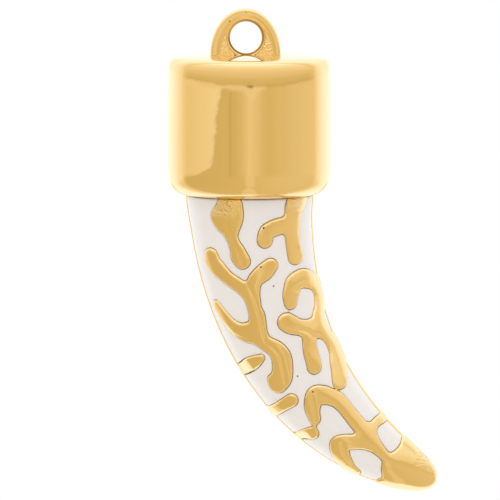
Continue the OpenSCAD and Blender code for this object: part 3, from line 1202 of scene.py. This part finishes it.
def turned_tree(material):
    tree, geometry, size = new_tree("turned cap", CAP_SIZES)
    radius = point_number(tree, "radius")
    angle = point_number(tree, "around")
    level = point_number(tree, "level")
    out = arrow(tree, angle.do("COSINE"), angle.do("SINE"))
    spun = out * radius + arrow(tree, size["Axis"], 0.0, level)
    made = tree.nodes.new("ShaderNodeTexNoise")
    made.noise_dimensions = "4D"
    connect(tree, spun, made.inputs["Vector"])
    connect(tree, size["Seed"], made.inputs["W"])
    connect(tree, size["Ripples per metre"], made.inputs["Scale"])
    made.inputs["Detail"].default_value = 1
    ripple = Number(tree, made.outputs["Fac"]) - 0.5
    outer = radius.smooth(RIPPLE_START * MM, RIPPLE_FULL * MM)
    place = spun + out * (ripple * size["Ripple height"] * outer * 2)
    end_tree(tree, geometry, place, material)
    return tree


turn_cap = turned_tree(cap_gold)
print("tree nodes:", len(turn_cap.nodes))

# %% [markdown]
# The mesh that goes in is a ring of columns for every point of the outline, closed at both ends by
# a fan. It has no cast grain and no painted shade, so those two numbers are 0.

# %% The cap
CAP_COLUMNS = 192


def spun_mesh(outline, columns):
    ring = np.arange(columns)
    turn = ring * 2 * np.pi / columns
    rows = [(0.0, 0.0, outline[0, 1])]
    faces = [(0, 1 + j, 1 + (j + 1) % columns) for j in ring]
    for radius, level in outline[1:-1]:
        rows += [(radius, angle, level) for angle in turn]
    count = len(outline) - 2
    for i in range(count - 1):
        for j in ring:
            a, b = 1 + i * columns + j, 1 + i * columns + (j + 1) % columns
            faces += [(a, a + columns, b + columns), (a, b + columns, b)]
    last = 1 + (count - 1) * columns
    end = len(rows)
    rows.append((0.0, 0.0, outline[-1, 1]))
    faces += [(end, last + (j + 1) % columns, last + j) for j in ring]
    return np.array(rows), np.array(faces)


cap_rows, cap_faces = spun_mesh(cap_line, CAP_COLUMNS)
blank = np.zeros(len(cap_rows))
mesh = plain_mesh(
    "gold_cap", np.zeros((len(cap_rows), 3)), cap_faces, radius=cap_rows[:, 0] * MM,
    around=cap_rows[:, 1], level=cap_rows[:, 2] * MM, grain=blank, shade=blank,
)
gold_cap = grown("gold_cap", mesh, turn_cap, CAP_SIZES)
for label in ("radius", "around", "level"):
    gold_cap.data.attributes.remove(gold_cap.data.attributes[label])
cap_volume = volume(read_points(gold_cap.data) / MM, cap_faces)
print(f"cap {len(cap_faces)} triangles, {cap_volume:.0f} cubic mm")

# %% [markdown]
# ## The eye
# The eye is a pierced lug: a round outer band like a bent wire, and a flat web inside it round
# the hole. The band's outer and inner edges are half ellipses, not quite centred on each other, as
# the real band is a little wider on the left. The section depends on how far a point lies inside
# these two.

# %% The eye's section
# Half ellipses on the plate: middle, half width and height
EYE_FOOT = -1.44
BAND_OUTSIDE = (-0.04, 2.84, 3.76)
BAND_INSIDE = (0.06, 2.06, 2.86)
HOLE_RADIUS = 1.27
HOLE_RIM = 1.48
# Half thicknesses: in the hole's throat, of the band and of the web
THROAT = 0.7
BAND_DEPTH = 1.05
WEB_DEPTH = 0.92
BAND_ROUNDING = 0.34
ROUNDING_POWER = 4
GROOVE_DEPTH = 0.04
GROOVE_OFFSET = 0.03
GROOVE_WIDTH = 0.035


def inside_arch(x, z, arch):
    """How far inside an arch a point lies. Below the foot its legs run straight down."""
    middle, half_width, height = arch
    across = np.maximum(np.abs(x - middle), 1e-6)
    up = np.maximum(z - EYE_FOOT, 0)
    reach = np.hypot(across / half_width, up / height)
    steepness = np.hypot(across / half_width**2, up / height**2) / reach
    return (1 - reach) / steepness


def eye_depth(x, z):
    """Half the eye's thickness at a point."""
    outer = inside_arch(x, z, BAND_OUTSIDE)
    inner = np.maximum(-inside_arch(x, z, BAND_INSIDE), 0)
    edge = np.clip(outer / BAND_ROUNDING, 0, 1)
    round_edge = BAND_DEPTH * (1 - (1 - edge) ** ROUNDING_POWER) ** (1 / ROUNDING_POWER)
    share = outer / np.maximum(outer + inner, 1e-6)
    fall = np.clip(2 * share - 1, 0, 1)
    band = round_edge - (BAND_DEPTH - WEB_DEPTH) * fall**2
    # A straight bevel leads into the hole, with a fine groove round it
    from_hole = np.hypot(x, z) - HOLE_RADIUS
    bevel = np.clip(from_hole / (HOLE_RIM - HOLE_RADIUS), 0, 1)
    from_rim = (np.hypot(x, z) - HOLE_RIM - GROOVE_OFFSET) / GROOVE_WIDTH
    groove = GROOVE_DEPTH * np.exp(-(from_rim**2))
    return THROAT + (band - THROAT) * bevel - groove


print(f"the web is {2 * float(eye_depth(np.array([1.7]), np.array([0.0]))[0]):.2f} mm thick")

# %% [markdown]
# The eye is made as rays that run out from the hole. On each ray, points run from the edge of the
# band over its front, down to the web, over the bevel into the hole, and back behind. The points
# lie closer together where the section bends.

# %% The eye's mesh
EYE_BASE = -1.9
RAYS = 240
RAY_POINTS = 56
LONGEST_RAY = 4
RAY_TRIALS = 1200


def ray_end(angle):
    """Where a ray from the hole's centre leaves the outline or the base."""
    reach = np.linspace(HOLE_RADIUS, LONGEST_RAY, RAY_TRIALS)
    x, z = reach * math.cos(angle), reach * math.sin(angle)
    inside = (inside_arch(x, z, BAND_OUTSIDE) > 0) & (z > EYE_BASE)
    return reach[inside][-1]


def eye_mesh():
    turns = 2 * np.pi * np.arange(RAYS) / RAYS
    u = np.linspace(0, 1, RAY_POINTS)
    share = 0.5 * u + 0.25 * (1 - np.cos(np.pi * u))
    points, faces = [], []
    per_ray = 2 * RAY_POINTS
    for k, angle in enumerate(turns):
        end = ray_end(angle)
        reach = end + (HOLE_RADIUS - end) * share
        x, z = reach * math.cos(angle), reach * math.sin(angle)
        y = eye_depth(x, z)
        points += list(zip(x, -y, z)) + list(zip(x[::-1], y[::-1], z[::-1]))
        base, following = k * per_ray, (k + 1) % RAYS * per_ray
        for i in range(per_ray):
            j = (i + 1) % per_ray
            faces += [(base + i, following + i, following + j), (base + i, following + j, base + j)]
    return np.array(points), np.array(faces)


eye_points, eye_faces = eye_mesh()
print(f"eye: {len(eye_faces)} triangles, {volume(eye_points, eye_faces):.1f} cubic mm")

# %% [markdown]
# The flat web keeps its cast grain low down, beside the hole. The edge of the hole gets painted
# shade: its colour is darker above and on the right. Both are numbers at the points. Then
# points that lie on each other are joined, which closes the mesh.

# %% The eye's finish
GRAIN_TOP = 0.6
GRAIN_MARGIN = 0.1
# Where the painted shade at the hole's edge starts, how fast it fades, and its most
SHADE_EDGE = 0.02
SHADE_FADE = 0.08
SHADE_MOST = 0.75


def merged(piece, distance):
    """Joins points that lie on each other, which also drops faces without area."""
    work = bmesh.new()
    work.from_mesh(piece.data)
    bmesh.ops.remove_doubles(work, verts=work.verts, dist=distance)
    bmesh.ops.dissolve_degenerate(work, dist=distance, edges=work.edges)
    bmesh.ops.triangulate(work, faces=work.faces)
    open_count = sum(1 for e in work.edges if len(e.link_faces) != 2)
    work.to_mesh(piece.data)
    work.free()
    return open_count


def web_grain(points):
    """How rough the web is. It fades out on the band, upwards and at the hole's rim."""
    x, _, z = points.T
    on_web = np.clip(inside_arch(x, z, BAND_INSIDE) / 0.2 + 0.6, 0, 1)
    low = np.clip(GRAIN_TOP - z, 0, 1)
    return on_web * low * np.clip((np.hypot(x, z) - HOLE_RIM) / GRAIN_MARGIN, 0, 1)


def hole_shade(points):
    """How much painted shade darkens the hole's edge. It grows to the right and more so upwards."""
    x, _, z = points.T
    near = np.clip((HOLE_RIM + SHADE_EDGE - np.hypot(x, z)) / SHADE_FADE, 0, 1)
    return near * np.clip(0.25 + (x + 1.5 * z) / 4, 0, SHADE_MOST)


# The hole's edge carries painted shade: a darker colour above and on the right
eye_form = plain_mesh(
    "eye", eye_points * MM, eye_faces, grain=web_grain(eye_points), shade=hole_shade(eye_points)
)
eye = bpy.data.objects.new("eye", eye_form)
bpy.context.scene.collection.objects.link(eye)
eye.data.materials.append(cap_gold)
eye.data.polygons.foreach_set("use_smooth", np.ones(len(eye.data.polygons), bool))
print("eye open edges:", merged(eye, 0.0005 * MM), "triangles:", len(eye.data.polygons))

# %% [markdown]
# On the real pendant the eye and the cap are one casting, so their meshes become one piece. The
# eye reaches down through the cap's plate, and no seam shows.

# %% Cap and eye as one piece


def joined(main, other):
    with bpy.context.temp_override(active_object=main, selected_editable_objects=[main, other]):
        bpy.ops.object.join()
    return main


gold_cap = joined(gold_cap, eye)
print("cap and eye:", len(gold_cap.data.polygons), "triangles")

# %% [markdown]
# ## Studio
# The photo was taken in a light tent: white behind, above and at the sides. On the camera's side
# it is dimmer and warmer, with a few soft panels that show as upright strips in the cap. Lamps
# could do this, but a polished cylinder shows every gap between them. So the world's light is a
# function of direction alone. It stands still when the camera moves, as a real room does.
# Angles are in degrees: turn is 0 towards the photo's camera, and level is 0 at the horizon.

# %% Strips of light
# Turn and brightness
STRIPS = [
    (-180, 1.18), (-138, 1.14), (-124, 1.06), (-113, 1.0), (-104, 0.92), (-98, 0.87), (-90, 0.87),
    (-70, 0.91), (-46, 0.95), (-42, 0.94), (-38, 0.72), (-29, 0.7), (-26.5, 0.62), (-24, 0.69),
    (-20, 0.7), (-12, 0.75), (-5, 0.81), (0, 0.88), (7, 0.83), (13, 0.8), (20, 0.75), (27, 0.73),
    (45, 0.77), (70, 0.81), (94, 0.85), (104, 0.87), (111, 0.98), (118, 1.05), (131, 1.14),
    (180, 1.18),
]


def ramp_of(tree, turn, stops):
    """A light that changes with the turn, eased between its stops."""
    made = tree.nodes.new("ShaderNodeValToRGB")
    made.color_ramp.interpolation = "EASE"
    connect(tree, turn / 360 + 0.5, made.inputs[0])
    marks = made.color_ramp.elements
    while len(marks) > 1:
        marks.remove(marks[-1])
    for k, (angle, bright) in enumerate(stops):
        place = angle / 360 + 0.5
        mark = marks[0] if k == 0 else marks.new(place)
        mark.position = place
        mark.color = (bright, bright, bright, 1)
    return Number(tree, made.outputs[0])


def blend(low, high, share):
    return low + (high - low) * share


print(f"{len(STRIPS)} stops, brightness {min(b for _, b in STRIPS)} to {max(b for _, b in STRIPS)}")

# %% [markdown]
# Around the horizon the cap mirrors the camera's side of the tent. The lit panel on the left has a
# leaning edge. Below it is dim, with a light spot in the middle. A band of light lies over the
# strips, hangs down to a point and ends on the right, and a small dark spot lies at its point.
# A range such as (-2, 2) says where a light starts and where it is full. With the larger number
# first, it fades out instead.

# %% Light below the seam
PANEL_EDGE = 26
PANEL_LEAN = 6
PANEL_DARK = 0.7
PANEL_LINE = 0.1
DIM = 0.75
DIM_ACROSS = 0.07
SPOT_LIGHT = 0.1
BAND_LIGHT = 0.9
BAND_POINT = 4
BAND_REACH = 13
BAND_HANG = 1.5
LENS_TURN = 1.8
LENS_LEVEL = -0.05
LENS_WIDTH = 5.5
LENS_HEIGHT = 0.6
LENS_DARK = 0.7


def panel_light(turn, level, strips, inner):
    """The strips, with the shadow beside the leaning panel and the dark line at its edge."""
    past = turn - (level * PANEL_LEAN - PANEL_EDGE)
    shadow = past.smooth(-2, 2) * turn.smooth(-36, -40) * inner
    line = (past - 2).do("ABSOLUTE").smooth(2.5, 0)
    return blend(strips, PANEL_DARK, shadow) - line * PANEL_LINE


def light_below(x, y, turn, level, strips, inner):
    lower = panel_light(turn, level, strips, inner)
    # The column is the same all the way down the cap, whatever the camera's height
    column = x / (1 - y)
    dome = level + (column * 10) ** 2 * 40
    spot = column.do("ABSOLUTE").smooth(0.12, 0.09) * dome.smooth(-36, -46)
    strip = (column - 0.012).do("ABSOLUTE").smooth(0.07, 0.035) * level.smooth(-45, -30)
    dim = x * DIM_ACROSS + DIM + (spot + strip) * SPOT_LIGHT
    lower = blend(lower, dim, (level * -1).smooth(7, 13) * inner)
    point = (1 - (turn - BAND_POINT).do("ABSOLUTE") / BAND_REACH).do("MAXIMUM", 0)
    band = (level + point * BAND_HANG).smooth(-1.5, -0.9) * turn.smooth(30, 14) * inner
    lower = blend(lower, BAND_LIGHT, band)
    lens = ((turn - LENS_TURN) / LENS_WIDTH).length_with((level - LENS_LEVEL) / LENS_HEIGHT)
    return lower * (1 - lens.smooth(1.2, 0.5) * LENS_DARK)


print(f"the panel's edge moves {PANEL_LEAN} degrees for each degree of level")

# %% [markdown]
# Above the tent's seam it is dim as well, and it brightens upwards in soft steps. The wall behind
# the pendant is the brightest part, because its light grazes the cap's sides and its top. It has
# two soft strips of its own, just below the horizon, so that the cap's back isn't blank either.

# %% Light above the seam and behind
SEAM = 0.24
SEAM_LEAN = -0.22
SEAM_DARK = 0.12
ABOVE = 0.71
# Levels where a step starts and ends, and how much light it adds
STEPS_UP = [(2, 14, 0.12), (16, 34, 0.08), (36, 68, 0.18)]
BACK_LIGHT = 1.18
BACK_DIP = 0.07
BACK_STRIP = 166
BACK_STRIP_LIGHT = 0.12
BACK_DIM = 0.88


def light_above(turn, level, over, strips):
    upper = over.smooth(0, 4.5) * 0.1 + ABOVE
    for start, end, more in STEPS_UP:
        upper = upper + level.smooth(start, end) * more
    return blend(upper, strips, turn.do("ABSOLUTE").smooth(90, 112))


def light_behind(turn, level):
    aside = turn.do("ABSOLUTE")
    wall = BACK_LIGHT - level.smooth(-2, 1) * level.smooth(34, 16) * BACK_DIP
    pair = (aside - BACK_STRIP).do("ABSOLUTE").smooth(11, 3)
    low = (level * -1).smooth(9, 13) * level.smooth(-24, -17) * aside.smooth(150, 162)
    return blend(wall, pair * BACK_STRIP_LIGHT + BACK_DIM, low)


def tent_light(tree, way):
    x, y, z = way.part(0), way.part(1), way.part(2)
    turn = x.do("ARCTAN2", y * -1) * math.degrees(1)
    level = z.do("ARCSINE") * math.degrees(1)
    inner = turn.do("ABSOLUTE").smooth(112, 98)
    strips = ramp_of(tree, turn, STRIPS) * (1 - (level * -1).smooth(8, 24) * 0.12)
    over = level - (x * SEAM_LEAN + SEAM)
    lower = light_below(x, y, turn, level, strips, inner)
    upper = light_above(turn, level, over, strips)
    front = blend(lower, upper, over.smooth(-0.3, 0.3))
    front = front - over.do("ABSOLUTE").smooth(0.6, 0) * SEAM_DARK * inner
    return blend(front, light_behind(turn, level), turn.do("ABSOLUTE").smooth(116, 150))


print(len(STEPS_UP), "steps of light upwards")

# %% [markdown]
# ## World
# The dimmer a part of the tent is, the warmer its reflection: the gold then shows its deep colour,
# as plated gold does. What the tent throws on matt white is neutral instead, so that the enamel
# stays white. The camera itself sees plain white behind the pendant, as in the photo.

# %% World
WARM = (1.0, 0.77, 0.37)
# A matt surface gathers light from the whole tent, so it needs more contrast to show its form
MATT_MIDDLE = 0.84
MATT_CONTRAST = 1.3


def tinted(tree, light, matt):
    """Warm for dim light, white for bright light and for matt surfaces."""
    mix = tree.nodes.new("ShaderNodeMix")
    mix.data_type = "RGBA"
    white = light.smooth(0.7, MATT_MIDDLE) * 0.2 + light.smooth(MATT_MIDDLE, 1.2) * 0.8
    connect(tree, white.do("MAXIMUM", matt), mix.inputs["Factor"])
    mix.inputs[6].default_value = (*WARM, 1)
    mix.inputs[7].default_value = (1, 1, 1, 1)
    return mix.outputs[2]


def make_world():
    world = bpy.data.worlds.new("light tent")
    bpy.context.scene.world = world
    world.use_nodes = True
    tree = world.node_tree
    tree.nodes.clear()
    direction = tree.nodes.new("ShaderNodeTexCoord")
    light = tent_light(tree, Arrow(tree, direction.outputs["Generated"]))
    rays = tree.nodes.new("ShaderNodeLightPath")
    glow = tree.nodes.new("ShaderNodeBackground")
    matt = Number(tree, rays.outputs["Is Diffuse Ray"])
    stronger = matt * (light - MATT_MIDDLE) * MATT_CONTRAST
    connect(tree, light + stronger, glow.inputs["Strength"])
    tree.links.new(tinted(tree, light, matt), glow.inputs["Color"])
    white = tree.nodes.new("ShaderNodeBackground")
    white.inputs["Color"].default_value = (1, 1, 1, 1)
    mix = tree.nodes.new("ShaderNodeMixShader")
    tree.links.new(rays.outputs["Is Camera Ray"], mix.inputs[0])
    tree.links.new(glow.outputs[0], mix.inputs[1])
    tree.links.new(white.outputs[0], mix.inputs[2])
    leave = tree.nodes.new("ShaderNodeOutputWorld")
    tree.links.new(mix.outputs[0], leave.inputs[0])


make_world()
bpy.context.scene.view_settings.view_transform = "Standard"
print("light tent:", len(bpy.context.scene.world.node_tree.nodes), "nodes")

# %% [markdown]
# ## Floor
# The pendant hangs, so nothing touches it. A plain pale floor lies half a metre below, wide and
# round, and out of the front view. The gold mirrors the tent alone and not the floor's rim.

# %% Floor
FLOOR_DEPTH = 0.5
FLOOR_RADIUS = 2.5


def make_floor():
    bpy.ops.mesh.primitive_circle_add(
        vertices=96, radius=FLOOR_RADIUS, fill_type="NGON", location=(0, 0, -FLOOR_DEPTH)
    )
    floor = bpy.context.active_object
    floor.name = "floor"
    material, _, shader = new_material("pale floor")
    shader.inputs["Base Color"].default_value = (0.86, 0.86, 0.85, 1)
    shader.inputs["Roughness"].default_value = 0.9
    floor.data.materials.append(material)
    floor.visible_glossy = False
    floor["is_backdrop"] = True


make_floor()
print(f"floor {FLOOR_DEPTH} m below")

# %% [markdown]
# ## Hand over
# Each piece stands for the imported node of the same form, which is hidden, and rides on the one
# body. The finished look is then measured against the real sizes.

# %% Replace the plain nodes
for piece, node, slot in (
    (gold_cap, "cap", "cap_gold"),
    (coral_gold, "tooth", "tooth_gold"),
    (enamel_fields, "enamel", "white_enamel"),
):
    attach(piece, "root")
    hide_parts(node)

look_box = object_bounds()
for label, (low, high) in (("cad", cad_box), ("look", look_box)):
    print(label, [round((b - a) / MM, 2) for a, b in zip(low, high)], "mm")
